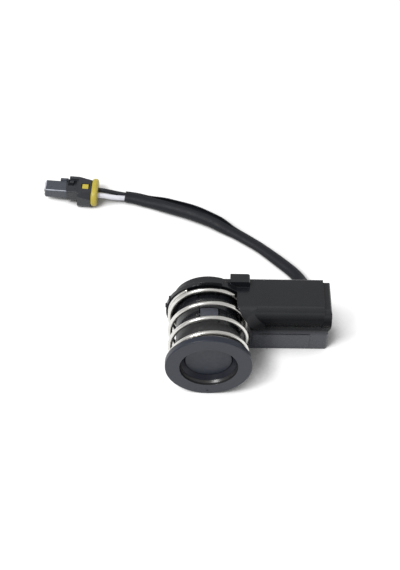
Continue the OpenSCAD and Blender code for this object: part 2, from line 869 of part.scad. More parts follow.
// Rubber gland: inner flange, neck through the cover, and a tapered collar outside with two wire holes
module cable_grommet() {
    color([0.08, 0.08, 0.09]) difference() {
        translate([exit_x, 0, exit_z]) turned() polygon([[0, cover_y - gland_flange_t],
            [gland_flange_r, cover_y - gland_flange_t], [gland_flange_r, cover_y], [gland_r - fit, cover_y],
            [gland_r - fit, back_y], [gland_collar_r, back_y], [gland_tip_r, gland_end_y], [0, gland_end_y]]);
        for (side = [1, -1]) translate(stub_place(side))
            bar_y(white_d / 2 + fit, cover_y - 2 * cut, gland_end_y + cut);
    }
}

module cable_sleeve() {
    color([0.12, 0.13, 0.14]) cord(sleeve_route, cable_w, cable_h, sleeve_sides, [0, 1, 0], [-1, 0, 0]);
}

// Inner end of a wire: from the gland's face to the board, with its bared core through the board
module wire_stub(side, d) {
    translate(stub_place(side)) {
        bar_y(d / 2, board_back_y, gland_end_y);
        bar_y(pin_r, board_y - pin_stand, board_back_y + fit);
    }
}

// Place of a point in the plug's own frame: back from the nose is +X, the rear face is at 0
function plug_point(p) =
    let (c = cos(plug_turn), s = sin(plug_turn))
    plug_pos + [p[0] * c - p[1] * s, p[0] * s + p[1] * c, p[2]];

plug_dir = [-cos(plug_turn), -sin(plug_turn), 0];
wire_end_x = -rear_len - retainer_t - seal_len;

// Outer end of a wire: from the sleeve's cut end into the plug
module wire_run(route, side, d) {
    aside = side * wire_pitch / 2;
    full = concat(route, [plug_point([0, aside, 0]), plug_point([wire_end_x, aside, 0])]);
    cord(full, d, d, wire_sides, [-1, 0, 0], plug_dir);
}

module wire_black() {
    color([0.1, 0.1, 0.12]) {
        wire_stub(1, black_d);
        wire_run(black_route, 1, black_d);
    }
}

module wire_white() {
    color([0.9, 0.9, 0.93]) {
        wire_stub(-1, white_d);
        wire_run(white_route, -1, white_d);
    }
}

// Puts children from the plug's own frame where the plug lies
module on_plug() {
    translate(plug_pos) rotate([0, 0, plug_turn]) children();
}

// Section of the plug: a bar along its axis with a rounded rectangular outline between two heights
module plug_bar(x0, x1, w, low, high, r) {
    along_x(x0, x1) round_rect([-w / 2, low], [w / 2, high], r);
}

body_x = -retainer_t;
rear_x = body_x - rear_len;
collar_x = rear_x - collar_len;
tip_x = -plug_len;
tab_x = body_x - tab_inset - tab_len;
nose_z = [nose_top - nose_h, nose_top];

// Bare outside of the plug's rear, without its chamfers
module plug_rear(x0, x1) {
    plug_bar(x0, x1, rear_w, -rear_h / 2, rear_h / 2, rear_r);
}

// Wedges that chamfer the rear's upper edges
module rear_chamfers() {
    run = rear_len + cut;
    for (side = [0, 1]) mirror([0, side, 0]) rotate([-chamfer_turn, 0, 0]) along_y(-rear_w, rear_w)
        polygon([[rear_x, chamfer_start], [rear_x + run, chamfer_start - chamfer_slope * run],
            [rear_x + run, rear_w], [rear_x, rear_w]]);
}

// Nose with its tip chamfered all round
module plug_nose() {
    intersection() {
        plug_bar(tip_x, collar_x + fit, nose_w, nose_z[0], nose_z[1], nose_r);
        linear_extrude(2 * nose_h, center = true) polygon([[tip_x, nose_w / 2 - tip_cham],
            [tip_x + tip_cham, nose_w / 2], [collar_x + cut, nose_w / 2], [collar_x + cut, -nose_w / 2],
            [tip_x + tip_cham, -nose_w / 2], [tip_x, -nose_w / 2 + tip_cham]]);
        along_y(-nose_w, nose_w) polygon([[tip_x, nose_z[1] - tip_cham], [tip_x + tip_cham, nose_z[1]],
            [collar_x + cut, nose_z[1]], [collar_x + cut, nose_z[0]], [tip_x + tip_cham, nose_z[0]],
            [tip_x, nose_z[0] + tip_cham]]);
    }
}

// Rail beside the nose and the ear of the rear that overlaps the collar, both at the back of the plug
module plug_back_side() {
    rail_y = collar_w / 2 - rail_w;
    block([collar_x - rail_len, rail_y, collar_z[1] - rail_h], [collar_x + fit, collar_w / 2, collar_z[1]]);
    intersection() {
        plug_rear(rear_x - ear_len, rear_x + fit);
        block([rear_x - ear_len, ear_in, collar_z[0]], [rear_x + fit, rear_w, rear_h]);
    }
}

module connector_body() {
    color([0.2, 0.21, 0.23]) on_plug() {
        difference() {
            union() {
                difference() {
                    plug_rear(rear_x, body_x);
                    rear_chamfers();
                }
                plug_bar(collar_x, rear_x + fit, collar_w, collar_z[0], collar_z[1], collar_r);
                plug_nose();
                plug_back_side();
            }
            plug_bar(body_x - plug_bay_len, body_x + cut, plug_bay_w, -plug_bay_h / 2, plug_bay_h / 2,
                plug_bay_r);
            block([tab_x - tab_gap, tab_y[0] - fit, 0],
                [tab_x + tab_len + tab_gap, tab_y[1] + tab_gap, rear_h]);
            block([latch_x[0], latch_y[0], collar_z[1] - latch_depth], [latch_x[1], latch_y[1], rear_h]);
            for (side = [1, -1]) translate([0, side * wire_pitch / 2, 0]) {
                translate([wire_end_x, 0, 0]) rotate([0, 90, 0]) cylinder(r = tunnel_r, h = plug_len);
                plug_bar(tip_x - cut, wire_end_x + fit, socket_w, -socket_w / 2, socket_w / 2, socket_r);
            }
        }
        block([nib_x[0], nib_y[0], collar_z[1] - latch_depth - fit],
            [nib_x[1], nib_y[1], collar_z[1] + nib_h]);
    }
}

// Rounded rim of the retainer's section: [radius, x] with both edges rounded
rim_share = 0.4;
module rim_section(r) {
    edge = retainer_t * rim_share;
    round_rect([-2 * edge, -retainer_t], [r, 0], edge);
}

module connector_retainer() {
    half = retainer_h / 2;
    shift = (retainer_w - retainer_h) / 2;
    color([0.87, 0.81, 0.33]) on_plug() difference() {
        union() {
            for (side = [1, -1]) translate([0, side * shift, 0]) rotate([0, 90, 0]) rotate_extrude()
                intersection() {
                    rim_section(half);
                    translate([0, -retainer_t]) square([half, retainer_t]);
                }
            translate([0, shift, 0]) rotate([90, 0, 0]) linear_extrude(2 * shift) for (side = [0, 1])
                mirror([0, side]) rotate(90) mirror([0, 1]) rim_section(half);
            plug_bar(body_x - plug_bay_len + fit, body_x + fit, plug_bay_w - 2 * fit,
                -plug_bay_h / 2 + fit, plug_bay_h / 2 - fit, plug_bay_r - fit);
            block([tab_x, tab_y[0], 0], [tab_x + tab_len, tab_y[1], rear_h / 2]);
        }
        for (side = [1, -1]) translate([-2 * plug_bay_len, side * wire_pitch / 2, 0]) rotate([0, 90, 0])
            cylinder(r = white_d / 2 + fit, h = plug_len);
    }
}

module wire_seals() {
    color([0.5, 0.3, 0.2]) on_plug() for (side = [1, -1])
        translate([wire_end_x + fit, side * wire_pitch / 2, 0]) rotate([0, 90, 0]) difference() {
            cylinder(r = tunnel_r - fit, h = seal_len - 2 * fit);
            translate([0, 0, -cut]) cylinder(r = white_d / 2 + fit, h = seal_len + 2 * cut);
        }
}

module connector_terminals() {
    half = terminal_w / 2;
    color([0.75, 0.7, 0.5]) on_plug() for (side = [1, -1]) translate([0, side * wire_pitch / 2, 0])
        plug_bar(wire_end_x - terminal_len, wire_end_x, terminal_w, -half, half, terminal_r);
}

bezel_ring();
retaining_spring();
sensor_housing();
rear_cover();
potting_layer();
transducer_cup();
piezo_disc();
decoupling_ring();
damping_pad();
back_seal();
transducer_leads();
circuit_board();
driver_chip();
transformer_core();
transformer_winding();
storage_capacitor();
chip_capacitors();
chip_resistors();
solder_joints();
cable_grommet();
cable_sleeve();
wire_black();
wire_white();
connector_body();
connector_retainer();
wire_seals();
connector_terminals();
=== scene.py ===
"""Parking sensor: the finish of every piece, its spring and lead as fine meshes, and a plain studio."""

import json
import math

import bpy
from mathutils import Matrix, Vector

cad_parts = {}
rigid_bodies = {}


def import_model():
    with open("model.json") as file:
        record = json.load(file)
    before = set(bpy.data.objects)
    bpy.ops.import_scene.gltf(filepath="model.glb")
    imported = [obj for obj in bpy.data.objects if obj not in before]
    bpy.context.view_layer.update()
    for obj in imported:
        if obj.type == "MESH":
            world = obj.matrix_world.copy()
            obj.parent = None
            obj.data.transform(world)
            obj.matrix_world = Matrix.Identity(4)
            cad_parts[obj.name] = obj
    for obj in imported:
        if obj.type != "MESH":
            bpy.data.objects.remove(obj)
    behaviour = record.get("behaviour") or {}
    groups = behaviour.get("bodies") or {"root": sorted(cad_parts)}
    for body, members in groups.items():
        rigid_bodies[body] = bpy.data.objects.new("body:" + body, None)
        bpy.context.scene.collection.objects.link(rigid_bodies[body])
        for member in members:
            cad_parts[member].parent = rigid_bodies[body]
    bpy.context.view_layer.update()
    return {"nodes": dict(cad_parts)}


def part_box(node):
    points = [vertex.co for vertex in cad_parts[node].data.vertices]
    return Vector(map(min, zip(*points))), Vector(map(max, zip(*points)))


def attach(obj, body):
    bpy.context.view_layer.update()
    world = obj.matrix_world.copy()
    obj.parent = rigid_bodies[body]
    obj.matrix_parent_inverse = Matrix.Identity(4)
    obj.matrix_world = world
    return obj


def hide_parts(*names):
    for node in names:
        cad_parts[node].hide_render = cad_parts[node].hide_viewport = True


for leftover in list(bpy.data.objects):
    bpy.data.objects.remove(leftover)
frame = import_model()
nodes = frame["nodes"]

MM = 0.001

# Camera: the angle that the photograph was taken from
IMAGE_HEIGHT = 570
FOCAL_PIXELS = 1638.8
SENSOR_MM = 36
CAMERA_ELEVATION = math.radians(50.59)
CAMERA_HEADING = math.radians(3.03)
CAMERA_ROLL = math.radians(3.08)
CAMERA_DISTANCE = 440 * MM
CAMERA_CLIP = 10 * MM
AIM = Vector((-3.635, 0.192, 34.55)) * MM

# Surface that the part lies on
REST_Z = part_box("bezel_ring")[0].z
FLOOR_GAP = 0.02 * MM
FLOOR_SIZE = 4
FLOOR_GREY = (0.48, 0.48, 0.48, 1)
# White that the floor adds for the camera, away from the object's shadow. The shadow is looked for up to its
# reach, towards the light, and it is full or gone at these shares of open space.
FLOOR_LIFT = 0.66
SHADOW_REACH = 16 * MM
SHADOW_SAMPLES = 16
SHADOW_FULL = 0.5
SHADOW_NONE = 0.78
LIT_FROM = (-0.5, -0.35, 0.8)

# Room: a white backdrop, a dimmer ceiling and a white panel overhead, each by the height of its direction
BACKDROP_TOP = 0.03
CEILING_START = 0.25
CEILING_LIGHT = 0.62
PANEL_START = 0.93
PANEL_FULL = 0.98

# Key lamp: a small soft panel, in metres and watts
LAMP_PLACE = Vector((-0.44, -0.3, 0.82))
LAMP_SIZE = 0.26
LAMP_POWER = 6.5

# Colours that several pieces share, which look lighter with the gloss over them
GREY = (0.0105, 0.0145, 0.026)
BLACK = (0.012, 0.012, 0.013)
WHITE = (1, 1, 1, 1)

# Values that a noise texture mostly keeps between, and the samples for an edge that is softened
NOISE_LOW = 0.3
NOISE_HIGH = 0.7
EDGE_SAMPLES = 6

# Zones of the finishes: the two places between which one look goes over into the next
# The foot's zones bound the painted floor light on its front
FOOT_TOP = (REST_Z + 6.3 * MM, REST_Z + 9.5 * MM)
FOOT_LEFT = (11 * MM, 12 * MM)
# The hollow's zones bound the painted shade under the bulge
HOLLOW_LOW = (REST_Z + 8.9 * MM, REST_Z + 12.5 * MM)
HOLLOW_HIGH = (REST_Z + 15 * MM, REST_Z + 19.5 * MM)
NOSE_BACK = (-43.7 * MM, -43.6 * MM)
# Painted shade on the cup's rim, for the shadow in the gap round it
CUP_RIM = (6.55 * MM, 6.63 * MM)
WINDOW_WALL = (8.42 * MM, 8.47 * MM)
PAINT_BACK = (0.02 * MM, 0.12 * MM)
# Painted reflection of the sky on the finger tips
FINGER_TIP = (9.2 * MM, 9.5 * MM)

# The same for the way that a surface looks: forward is below 0 along Y, and upward is above 0 along Z
# Facing limits of the painted floor light on the foot's front and the painted shade in the hollow
FOOT_FORWARD = (-0.7, -0.3)
HOLLOW_FORWARD = (-0.4, -0.1)
HOUSING_UPWARD = (-0.1, 0.7)
# Facing limits of the painted highlight on the plug nose's rounded edges
NOSE_EDGE_LOW = (0.2, 0.4)
NOSE_EDGE_HIGH = (0.85, 0.95)

# Gloss: plain plastic, the box's underside, its foot, the share left in its hollow, and the cup's rim
PLAIN_GLOSS = 0.5
UNDERSIDE_GLOSS = 0.03
FOOT_GLOSS = 0.3
HOLLOW_SHARE = 0.15
RIM_GLOSS = 0.05

# Retaining spring
SPRING_RADIUS = 10.995 * MM
SPRING_WIRE = 1.35 * MM
SPRING_PITCH = 5.3 * MM
SPRING_ACTIVE_TURNS = 3.03
SPRING_CLOSED_TURNS = 1
SPRING_FRONT_TIP = math.radians(134)
SPRING_END_GAP = 0.02 * MM
SPRING_GRIND = 0.45 * MM
SPRING_STEPS_PER_TURN = 150
SPRING_SIDES = 28

# Lead, in millimetres: the sleeve's route from the gland to its cut end, and the wires' routes on to the plug
SLEEVE_ROUTE = [
    (29.8, 25.36, -5), (29.9, 28, -5.2), (30.1, 31, -6.2), (30.2, 34, -8),
    (29.9, 37, -9.8), (28.9, 40, -10.8), (27, 43, -11), (24, 46.2, -11), (20.6, 49.6, -11),
    (17, 53, -11), (13.2, 56, -11), (9.4, 58.8, -11), (6, 61.2, -11), (2.4, 63.6, -11),
    (-2.4, 66.1, -11), (-6.4, 67.8, -11), (-10.4, 69.2, -11), (-14.4, 70.6, -11),
    (-18.4, 71.8, -11), (-22, 72.9, -10.9), (-25, 73.4, -10.8),
]
BLACK_END = [(-27, 74.3, -10.5), (-29.5, 74.5, -10), (-31.6, 74.6, -9.5)]
WHITE_END = [(-27, 72.5, -10.5), (-29.5, 72.3, -10), (-31.6, 72.3, -9.5)]
PLUG_POS = Vector((-33.65, 73.5, -9.3))
PLUG_TURN = math.radians(-4.5)
WIRE_PITCH = 2.4
WIRE_DEPTH = 8.65
WIRE_SPREAD = 0.78
STUB_BACK = 5.1
STUB_GAP = 0.9
# Form of the sleeve along its length: share of the length, width, height, half the slit's gape in degrees
SLEEVE_FORM = [
    (0.0, 4.0, 3.6, 1.5), (0.12, 3.8, 3.2, 1.5), (0.3, 3.7, 2.9, 1.5), (0.42, 3.5, 2.5, 2),
    (0.52, 3.6, 2.6, 4), (0.62, 4.9, 3.7, 26), (0.72, 5.3, 4.0, 36), (0.82, 5.1, 3.8, 27),
    (0.92, 4.2, 3.0, 8), (1.0, 3.9, 2.6, 1.5),
]
# Lead, in metres: its thicknesses, and how finely its meshes follow it
BLACK_WIRE_D = 1.4 * MM
WHITE_WIRE_D = 1.6 * MM
SLEEVE_WALL = 0.35 * MM
SLIT_ANGLE = math.radians(64)
SLEEVE_STEP = 0.6 * MM
SLEEVE_SIDES = 44
WIRE_STEP = 0.8 * MM
WIRE_SIDES = 20
ROUTE_SUBDIVISIONS = 16


class NodeTree:
    """Short ways to add and join the nodes of a material or of the world."""

    def __init__(self, tree):
        self.tree = tree

    def add(self, kind, inputs=None, **settings):
        """New node with the given settings and input values."""
        node = self.tree.nodes.new(kind)
        for key, value in settings.items():
            setattr(node, key, value)
        for key, value in (inputs or {}).items():
            node.inputs[key].default_value = value
        return node

    def join(self, source, target):
        self.tree.links.new(source, target)

    def span(self, value, low, high, from_low=0.0, from_high=1.0):
        """Number that goes from low to high as the value goes from from_low to from_high."""
        limits = {"From Min": from_low, "From Max": from_high, "To Min": low, "To Max": high}
        node = self.add("ShaderNodeMapRange", limits)
        self.join(value, node.inputs["Value"])
        return node.outputs["Result"]

    def math(self, operation, first, second):
        """Product, larger one or the like of two numbers."""
        node = self.add("ShaderNodeMath", operation=operation)
        self.join(first, node.inputs[0])
        self.join(second, node.inputs[1])
        return node.outputs["Value"]

    def part(self, vector, name):
        """One coordinate of a vector."""
        split = self.add("ShaderNodeSeparateXYZ")
        self.join(vector, split.inputs["Vector"])
        return split.outputs[name]


class Shading(NodeTree):
    """One procedural material."""

    def __init__(self, name):
        self.material = bpy.data.materials.new(name)
        self.material.use_nodes = True
        super().__init__(self.material.node_tree)
        self.shader = self.tree.nodes["Principled BSDF"]

    def set(self, **values):
        """Sets what is the same all over the surface."""
        for key, value in values.items():
            self.shader.inputs[key.replace("_", " ")].default_value = value

    def feed(self, source, name):
        """Joins what varies over the surface to one of the shader's inputs."""
        self.join(source, self.shader.inputs[name])

    def place(self):
        """Position on the part, in metres."""
        return self.add("ShaderNodeTexCoord").outputs["Object"]

    def axis(self, name):
        """One coordinate of the position on the part."""
        return self.part(self.place(), name)

    def facing(self, name):
        """One part of the surface's direction: 1 along that axis, -1 against it."""
        return self.part(self.add("ShaderNodeNewGeometry").outputs["Normal"], name)

    def radius(self):
        """Distance from the barrel's axis, which lies along Y."""
        flat = self.add("ShaderNodeVectorMath", {1: (1, 0, 1)}, operation="MULTIPLY")
        length = self.add("ShaderNodeVectorMath", operation="LENGTH")
        self.join(self.place(), flat.inputs[0])
        self.join(flat.outputs["Vector"], length.inputs[0])
        return length.outputs["Value"]

    def noise(self, size, detail, source=None, stretch=(1, 1, 1)):
        """Noise with features of about the given size."""
        mapping = self.add("ShaderNodeMapping", {"Scale": stretch})
        texture = self.add("ShaderNodeTexNoise", {"Scale": 1 / size, "Detail": detail})
        self.join(source or self.place(), mapping.inputs["Vector"])
        self.join(mapping.outputs["Vector"], texture.inputs["Vector"])
        return texture.outputs["Fac"]

    def ramp(self, noise, low, high):
        """Colour that goes from low to high over the range of a noise."""
        node = self.add("ShaderNodeValToRGB")
        stops = node.color_ramp.elements
        stops[0].position = NOISE_LOW
        stops[0].color = (*low, 1)
        stops[1].position = NOISE_HIGH
        stops[1].color = (*high, 1)
        self.join(noise, node.inputs["Fac"])
        return node.outputs["Color"]

    def mottled(self, colour, size, spread, detail=2.0):
        """Colour that drifts by a share to either side, in patches of the given size."""
        return self.ramp(self.noise(size, detail), lighter(colour, 1 - spread), lighter(colour, 1 + spread))

    def mix(self, share, first, second):
        """Blend of two colours."""
        node = self.add("ShaderNodeMix", data_type="RGBA")
        self.join(share, node.inputs["Factor"])
        self.join(first, node.inputs[6])
        self.join(second, node.inputs[7])
        return node.outputs[2]

    def uneven(self, roughness, size=1.2 * MM, less=0.06, more=0.06):
        """Roughness that drifts a little to either side, in patches of the given size."""
        patches = self.noise(size, 4.0)
        self.feed(self.span(patches, roughness - less, roughness + more, NOISE_LOW, NOISE_HIGH), "Roughness")

    def grain(self, size, depth, edge):
        """Fine relief of the given depth, over edges that look rounded by the given radius."""
        node = self.add("ShaderNodeBump", {"Strength": 1.0, "Distance": depth})
        self.join(self.noise(size, 2.0), node.inputs["Height"])
        if edge:
            soft = self.add("ShaderNodeBevel", {"Radius": edge}, samples=EDGE_SAMPLES)
            self.join(soft.outputs["Normal"], node.inputs["Normal"])
        self.feed(node.outputs["Normal"], "Normal")


def lighter(colour, share):
    return tuple(min(1.0, c * share) for c in colour)


def grained(name, grain=0.16 * MM, depth=0.012 * MM, edge=0, specular=PLAIN_GLOSS):
    """Base of a moulded surface, still without its colour and roughness."""
    s = Shading(name)
    s.grain(grain, depth, edge)
    s.set(Specular_IOR_Level=specular)
    return s


def moulded(name, colour, roughness, **surface):
    """Moulded plastic or rubber: a fine eroded grain, with slow drifts of colour and gloss."""
    s = grained(name, **surface)
    s.feed(s.mottled(colour, 6 * MM, 0.12), "Base Color")
    s.uneven(roughness)
    return s.material


def metal(name, colour, roughness):
    """Bare metal with faint tarnish."""
    s = Shading(name)
    s.feed(s.mottled(colour, 2.5 * MM, 0.08, detail=3.0), "Base Color")
    s.uneven(roughness, 0.4 * MM, 0.05, 0.07)
    s.set(Metallic=1.0)
    return s.material


def housing_finish():
    """Black moulding: dull where it looks down, painted shade under the bulge, painted floor light on the
    foot's front.
    """
    black = (0.0092, 0.0102, 0.0126)
    # Lighter grey for the foot's front: painted light from the floor
    foot = (0.07, 0.073, 0.086)
    s = grained("housing_plastic", grain=0.14 * MM, depth=0.01 * MM, edge=0.25 * MM)
    s.uneven(0.25)
    height = s.axis("Z")
    forward = s.facing("Y")
    beside = s.span(s.axis("X"), 0, 1, *FOOT_LEFT)
    low = s.math("MULTIPLY", s.span(height, 1, 0, *FOOT_TOP), beside)
    # Painted light: the low, forward-facing front of the foot gets the lighter grey and some gloss
    floor_lit_foot = s.math("MULTIPLY", s.span(forward, 1, 0, *FOOT_FORWARD), low)
    # Painted shade: the forward-facing hollow under the bulge gets a darker colour and less gloss
    under = s.math("MULTIPLY", s.span(height, 0, 1, *HOLLOW_LOW), s.span(height, 1, 0, *HOLLOW_HIGH))
    under = s.math("MULTIPLY", under, beside)
    painted_hollow_shade = s.math("MULTIPLY", s.span(forward, 1, 0, *HOLLOW_FORWARD), under)
    body = s.mix(painted_hollow_shade, s.mottled(black, 6 * MM, 0.12), s.mottled(lighter(black, 0.55), 6 * MM, 0.09))
    s.feed(s.mix(floor_lit_foot, body, s.mottled(foot, 6 * MM, 0.05)), "Base Color")
    gloss = s.span(s.facing("Z"), UNDERSIDE_GLOSS, PLAIN_GLOSS, *HOUSING_UPWARD)
    gloss = s.math("MULTIPLY", gloss, s.span(painted_hollow_shade, 1, HOLLOW_SHARE))
    s.feed(s.math("MAXIMUM", gloss, s.span(floor_lit_foot, 0, FOOT_GLOSS)), "Specular IOR Level")
    return s.material


def plug_finish():
    """Black moulding with a greyer nose, whose rounded top edges carry a painted highlight."""
    black = (0.02, 0.022, 0.027)
    nose = (0.055, 0.061, 0.076)
    # Colour of the painted highlight along the nose's rounded top edges
    painted_highlight = (0.42, 0.44, 0.5)
    s = grained("plug_black", depth=0.003 * MM, edge=0.1 * MM)
    s.uneven(0.3)
    on_nose = s.span(s.axis("X"), 1, 0, *NOSE_BACK)
    upward = s.facing("Z")
    slanted = s.math("MULTIPLY", s.span(upward, 0, 1, *NOSE_EDGE_LOW), s.span(upward, 1, 0, *NOSE_EDGE_HIGH))
    colour = s.mix(on_nose, s.mottled(black, 3 * MM, 0.1), s.mottled(nose, 3 * MM, 0.05))
    # Painted highlight: the nose's upward-slanted faces get the pale colour
    highlight_share = s.math("MULTIPLY", slanted, on_nose)
    s.feed(s.mix(highlight_share, colour, s.mottled(painted_highlight, 1.5 * MM, 0.2)), "Base Color")
    return s.material


def cup_finish():
    """Grey painted face with painted shade on its rim, a dark ring for the shadow in the gap round it."""
    s = grained("cup_paint", depth=0.006 * MM, edge=0.08 * MM)
    s.uneven(0.42)
    # Painted shade: the rim is coloured near-black and kept dull for the shadow in the gap round it
    in_gap_shade = s.span(s.radius(), 0, 1, *CUP_RIM)
    rim = s.mottled(lighter(BLACK, 0.25), 1 * MM, 0.2)
    s.feed(s.mix(in_gap_shade, s.mottled(GREY, 5 * MM, 0.06), rim), "Base Color")
    s.feed(s.span(in_gap_shade, PLAIN_GLOSS, RIM_GLOSS), "Specular IOR Level")
    return s.material


def ring_finish():
    """Grey painted face, glossier black window wall, black sleeve behind, and bare finger tips coloured
    lighter bluish grey as a painted sky reflection.
    """
    # Lighter bluish grey for the finger tips: a painted reflection of the sky
    finger = (0.055, 0.058, 0.073)
    paint_roughness = 0.42
    wall_roughness = 0.3
    s = grained("ring_plastic", grain=0.12 * MM, depth=0.006 * MM, edge=0.1 * MM)
    back = s.axis("Y")
    inside = s.span(s.radius(), 1, 0, *WINDOW_WALL)
    unpainted = s.math("MAXIMUM", inside, s.span(back, 0, 1, *PAINT_BACK))
    bare = s.mottled(lighter(BLACK, 1.75), 1 * MM, 0.143)
    body = s.mix(unpainted, s.mottled(GREY, 5 * MM, 0.06), bare)
    tip_reflection = s.mottled(finger, 0.6 * MM, 0.15, detail=3.0)
    s.feed(s.mix(s.span(back, 0, 1, *FINGER_TIP), body, tip_reflection), "Base Color")
    s.feed(s.span(inside, paint_roughness, wall_roughness), "Roughness")
    return s.material


def spring_finish():
    """Bright drawn steel wire with faint draw lines along it."""
    steel = (0.7, 0.69, 0.66)
    line_width = 0.15 * MM
    line_stretch = 0.02
    s = Shading("spring_steel")
    wire = s.add("ShaderNodeCombineXYZ")
    for name, axis in (("along", "X"), ("around", "Y")):
        s.join(s.add("ShaderNodeAttribute", attribute_name=name).outputs["Fac"], wire.inputs[axis])
    draw_lines = s.noise(line_width, 2.0, wire.outputs["Vector"], (line_stretch, 1, 1))
    s.feed(s.ramp(draw_lines, lighter(steel, 0.93), lighter(steel, 1.05)), "Base Color")
    s.set(Metallic=1.0, Roughness=0.27)
    return s.material


def floor_finish():
    """Matt grey floor, white to the camera, to gloss and to glass, away from the object's shadow."""
    s = Shading("floor_white")
    path = s.add("ShaderNodeLightPath")
    seen = s.math("MAXIMUM", path.outputs["Is Camera Ray"], path.outputs["Is Glossy Ray"])
    seen = s.math("MAXIMUM", seen, path.outputs["Is Transmission Ray"])
    near = s.add("ShaderNodeAmbientOcclusion", {"Distance": SHADOW_REACH}, samples=SHADOW_SAMPLES)
    lit_from = s.add("ShaderNodeCombineXYZ", dict(zip("XYZ", LIT_FROM)))
    s.join(lit_from.outputs["Vector"], near.inputs["Normal"])
    clear = s.span(near.outputs["AO"], 0, FLOOR_LIFT, SHADOW_FULL, SHADOW_NONE)
    s.feed(s.math("MULTIPLY", seen, clear), "Emission Strength")
    s.set(Base_Color=FLOOR_GREY, Roughness=1.0, Specular_IOR_Level=0.0, Emission_Color=WHITE)
    return s.material


def paint(node, material):
    """Gives a piece its finish."""
    mesh = nodes[node].data
    mesh.materials.clear()
    mesh.materials.append(material)


def add_piece(name, points, faces, material, slot):
    """New mesh piece that rides with the part."""
    mesh = bpy.data.meshes.new(name)
    mesh.from_pydata(points, [], faces)
    mesh.validate()
    mesh.polygons.foreach_set("use_smooth", [len(f) == 4 for f in faces])
    mesh.materials.append(material)
    piece = bpy.data.objects.new(name, mesh)
    bpy.context.scene.collection.objects.link(piece)
    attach(piece, "root")
    return piece


def loft(rings):
    """Points and faces of a closed skin over rings of equal count, with a flat cap at each end."""
    count = len(rings[0])
    points = [p for ring in rings for p in ring]
    last = (len(rings) - 1) * count
    faces = [tuple(range(count - 1, -1, -1)), tuple(range(last, last + count))]
    for i in range(len(rings) - 1):
        for k in range(count):
            a = i * count + k
            b = i * count + (k + 1) % count
            faces.append((a, b, b + count, a + count))
    return points, faces


def spline_point(p0, p1, p2, p3, t):
    """Point on the smooth curve from p1 to p2 that also heeds the neighbours p0 and p3."""
    return 0.5 * (2 * p1 + (p2 - p0) * t + (2 * p0 - 5 * p1 + 4 * p2 - p3) * t ** 2
                  + (3 * p1 - p0 - 3 * p2 + p3) * t ** 3)


def smooth_route(points, step):
    """Points at an even step along a smooth curve through the given ones."""
    ends = [2 * points[0] - points[1], *points, 2 * points[-1] - points[-2]]
    fine = []
    for i in range(1, len(ends) - 2):
        for k in range(ROUTE_SUBDIVISIONS):
            fine.append(spline_point(*ends[i - 1:i + 3], k / ROUTE_SUBDIVISIONS))
    fine.append(points[-1])
    reached = [0.0]
    for a, b in zip(fine, fine[1:]):
        reached.append(reached[-1] + (b - a).length)
    count = max(2, round(reached[-1] / step))
    even = []
    j = 0
    for i in range(count + 1):
        target = reached[-1] * i / count
        while j < len(fine) - 2 and reached[j + 1] < target:
            j += 1
        part = (target - reached[j]) / (reached[j + 1] - reached[j])
        even.append(fine[j].lerp(fine[j + 1], part))
    return even


def directions(route):
    """Unit direction of a route at each of its points."""
    last = len(route) - 1
    return [(route[min(i + 1, last)] - route[max(i - 1, 0)]).normalized() for i in range(last + 1)]


def across(direction):
    """Level direction across a route."""
    return Vector((0, 0, 1)).cross(direction).normalized()


def in_metres(points):
    return [Vector(p) * MM for p in points]


def form_at(share):
    """Width, height and half gape of the sleeve at a share of its length, on a smooth curve."""
    for low, high in zip(SLEEVE_FORM, SLEEVE_FORM[1:]):
        if share <= high[0]:
            t = (share - low[0]) / (high[0] - low[0])
            t = t * t * (3 - 2 * t)
            return [a + (b - a) * t for a, b in zip(low[1:], high[1:])]
    return SLEEVE_FORM[-1][1:]


def sleeve_ring(centre, direction, share):
    """Section of the split sleeve: its outside from lip to lip, then its inside back."""
    width, height, gape = form_at(share)
    half_w = width / 2 * MM
    half_h = height / 2 * MM
    gape = math.radians(gape)
    sideways = across(direction)
    up = direction.cross(sideways)
    lift = max(0.0, REST_Z + half_h + FLOOR_GAP - centre.z)
    middle = centre + Vector((0, 0, lift))
    turn = 2 * math.pi - 2 * gape
    ring = []
    for inset, sides in ((0, range(SLEEVE_SIDES + 1)), (SLEEVE_WALL, range(SLEEVE_SIDES, -1, -1))):
        for k in sides:
            angle = SLIT_ANGLE + gape + turn * k / SLEEVE_SIDES
            level_part = sideways * (half_w - inset) * math.cos(angle)
            upright_part = up * (half_h - inset) * math.sin(angle)
            ring.append(middle - level_part + upright_part)
    return ring


def sleeve_ends(ring_count):
    """Faces of the two cut ends, between the sleeve's outside and its inside."""
    count = 2 * (SLEEVE_SIDES + 1)
    last = (ring_count - 1) * count
    ends = []
    for k in range(SLEEVE_SIDES):
        a, b, c, d = k, k + 1, count - 2 - k, count - 1 - k
        ends.append((d, c, b, a))
        ends.append((last + a, last + b, last + c, last + d))
    return ends


def make_sleeve(material):
    """Split sleeve over both wires, whose slit gapes along the middle of the lead."""
    route = smooth_route(in_metres(SLEEVE_ROUTE), SLEEVE_STEP)
    last = len(route) - 1
    rings = [sleeve_ring(p, d, i / last) for i, (p, d) in enumerate(zip(route, directions(route)))]
    points, faces = loft(rings)
    skin = faces[2:] + sleeve_ends(len(rings))
    piece = add_piece("split_sleeve", points, skin, material, "sleeve_vinyl")
    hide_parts("cable_sleeve")


def plug_point(x, y):
    """Point on the plug's level middle: x back from its rear face, y across it."""
    return PLUG_POS + Vector((x * math.cos(PLUG_TURN) - y * math.sin(PLUG_TURN),
                              x * math.sin(PLUG_TURN) + y * math.cos(PLUG_TURN), 0))


